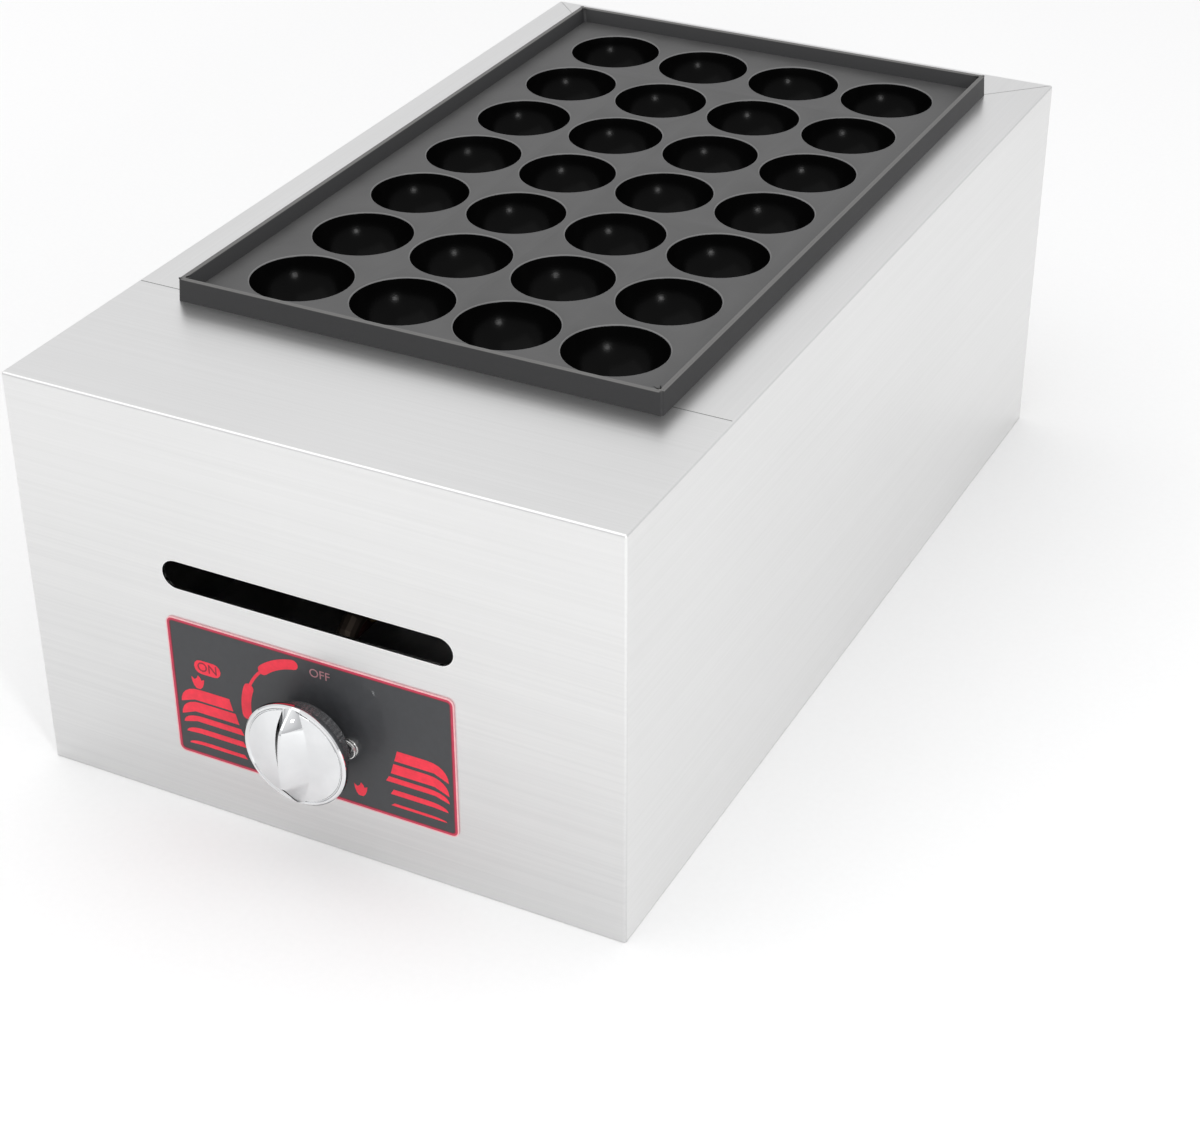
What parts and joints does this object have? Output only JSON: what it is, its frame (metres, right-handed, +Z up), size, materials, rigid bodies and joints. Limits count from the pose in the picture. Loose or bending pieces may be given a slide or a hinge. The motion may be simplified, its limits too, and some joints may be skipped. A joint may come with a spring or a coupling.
{
  "type": "takoyaki maker",
  "caption": "Countertop gas takoyaki maker with a lift-off cast pan of round cups, a folded steel case and one push-and-turn knob.",
  "frame": {"origin": "middle of the case's bottom face, on the surface it stands on", "axes": "+Z up, front face with the knob towards -Y, +X to the right of someone facing the front"},
  "size_m": [0.25, 0.484, 0.179],
  "materials": {
    "case_steel": "fine horizontal brushing",
    "tray_steel": "plain cold-rolled sheet",
    "screw_steel": "bright zinc",
    "pan_iron": "seasoned, sandy outside and glossy in the cups",
    "burner_iron": "raw casting",
    "burner_steel": "heat-tinted tube",
    "plate_print": "dark printed plate with red graphics",
    "knob_chrome": "mirror plating",
    "spindle_steel": "turned",
    "gas_brass": "turned",
    "pipe_metal": "drawn pipe",
    "igniter_plastic": "moulded",
    "electrode_white": "unglazed",
    "lead_rubber": "silicone sheath"
  },
  "bodies": {
    "case": {"front_panel": "case_steel", "body_wrap": "case_steel", "base_plate": "case_steel", "heat_tray": "tray_steel", "burner_bracket_front": "tray_steel", "burner_bracket_rear": "tray_steel", "electrode_bracket": "tray_steel", "pipe_clip": "tray_steel", "base_screws": "screw_steel", "valve_screws": "screw_steel", "valve_washers": "screw_steel", "burner_screws": "screw_steel", "burner_manifold": "burner_iron", "burner_tube_left": "burner_steel", "burner_tube_right": "burner_steel", "burner_end_caps": "burner_steel", "control_plate": "plate_print", "electrode_pin": "spindle_steel", "valve_body": "gas_brass", "feed_nuts": "gas_brass", "supply_nuts": "gas_brass", "inlet_connector": "gas_brass", "inlet_locknut": "gas_brass", "injector_holder": "gas_brass", "injector": "gas_brass", "gas_feed_pipe": "pipe_metal", "gas_supply_pipe": "pipe_metal", "igniter_housing": "igniter_plastic", "electrode_ceramic": "electrode_white", "ignition_lead": "lead_rubber"},
    "push_stage": {"spring_seat": "spindle_steel"},
    "knob_spindle": {"valve_spindle": "spindle_steel", "knob": "knob_chrome"},
    "pan": {"takoyaki_pan": "pan_iron"},
    "shutter": {"air_shutter": "burner_steel"}
  },
  "joints": [
    {"name": "knob_press", "type": "slide", "parent": "case", "child": "push_stage", "axis": [0, 1, 0], "range_m": [0, 0.0028], "stiffness_N_per_m": 1500},
    {"name": "knob_turn", "type": "hinge", "parent": "push_stage", "child": "knob_spindle", "pos_m": [0, -0.222, 0.0515], "axis": [0, -1, 0], "range_deg": [0, 210]},
    {"name": "pan_lift", "type": "slide", "parent": "case", "child": "pan", "axis": [0, 0, 1], "range_m": [0, 0.08]},
    {"name": "air_shutter_turn", "type": "hinge", "parent": "case", "child": "shutter", "pos_m": [0, -0.166, 0.085], "axis": [0, 1, 0], "range_deg": [0, 45]}
  ]
}
